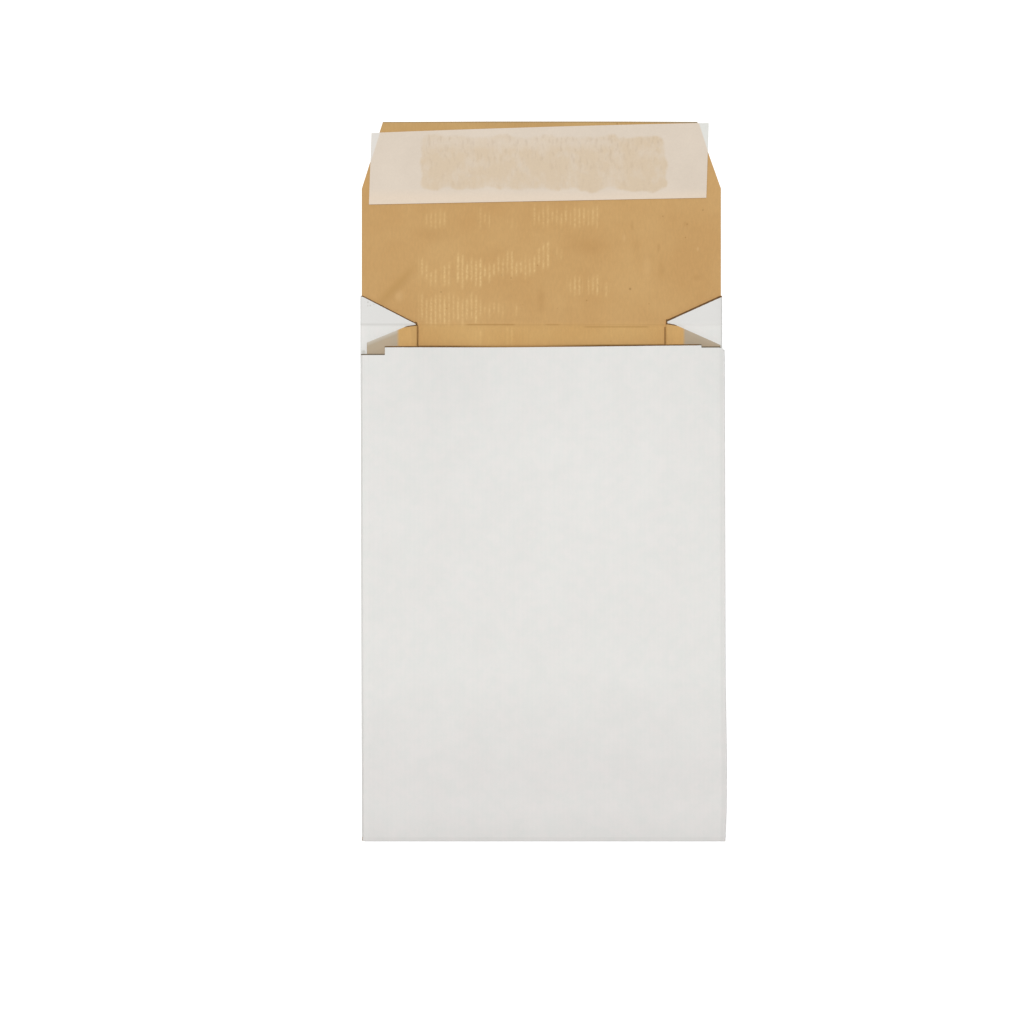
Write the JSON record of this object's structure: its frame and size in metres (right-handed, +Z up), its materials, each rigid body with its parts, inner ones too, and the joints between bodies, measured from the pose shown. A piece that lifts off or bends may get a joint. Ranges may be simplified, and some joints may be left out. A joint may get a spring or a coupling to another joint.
{
  "type": "padded envelope",
  "caption": "Flat gusseted mailing envelope of fine fluted board, open at the top, with a tapered flap, an adhesive band and a release strip.",
  "frame": {"origin": "under the middle of the open envelope, on the surface that its address side lies on", "axes": "+X across the envelope, +Y from the bottom fold to the flap's tip, +Z up out of the mouth panel"},
  "size_m": [0.162, 0.321, 0.0064],
  "materials": {
    "white_lined_board": "matt white outer paper on fine fluted board, plain brown inside",
    "hot_melt_adhesive": "mottled, slightly shiny",
    "release_paper": "thin, translucent, smooth"
  },
  "bodies": {
    "root": {"folded_board_envelope": "white_lined_board", "adhesive_band": "hot_melt_adhesive", "release_liner": "release_paper"}
  },
  "joints": []
}
